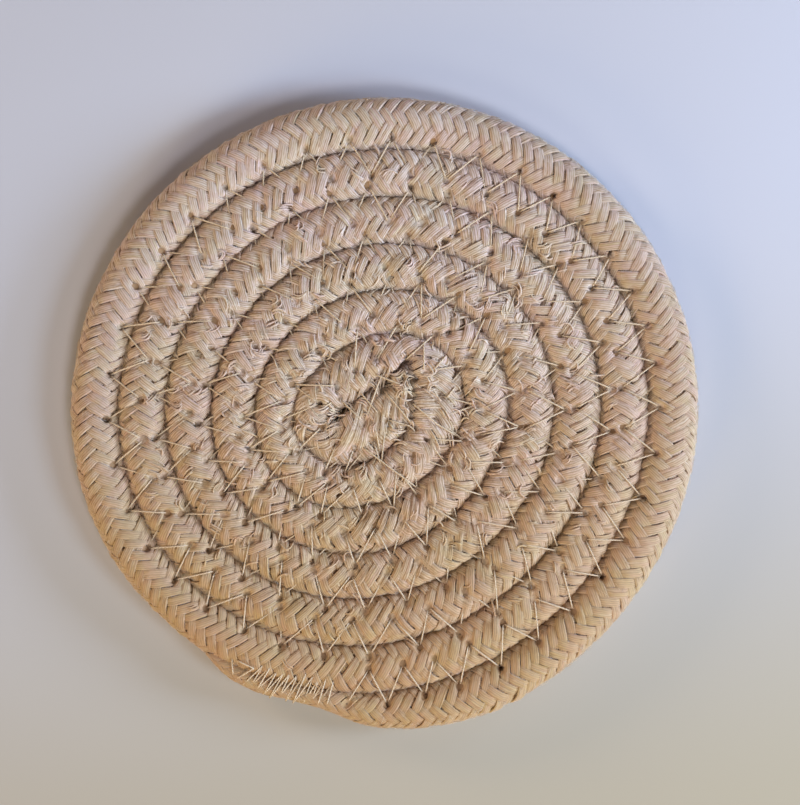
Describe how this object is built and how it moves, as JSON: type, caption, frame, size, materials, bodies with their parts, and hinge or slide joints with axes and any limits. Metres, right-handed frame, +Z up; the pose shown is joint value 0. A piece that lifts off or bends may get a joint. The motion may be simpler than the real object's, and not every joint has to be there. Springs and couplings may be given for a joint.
{
  "type": "coiled rope table mat",
  "caption": "Small round table mat coiled from braided cotton rope, sewn turn to turn with zigzag thread; it lies flat under a cup, glass or small pot.",
  "frame": {"origin": "on the table, under the middle of the mat's box", "axes": "+Z up from the table, +Y towards the top of the picture, +X towards its right"},
  "size_m": [0.1104, 0.111, 0.0072],
  "materials": {
    "cotton": "undyed oatmeal cotton, soft and matt, braided"
  },
  "bodies": {
    "root": {"rope_coil": "cotton"}
  },
  "joints": []
}
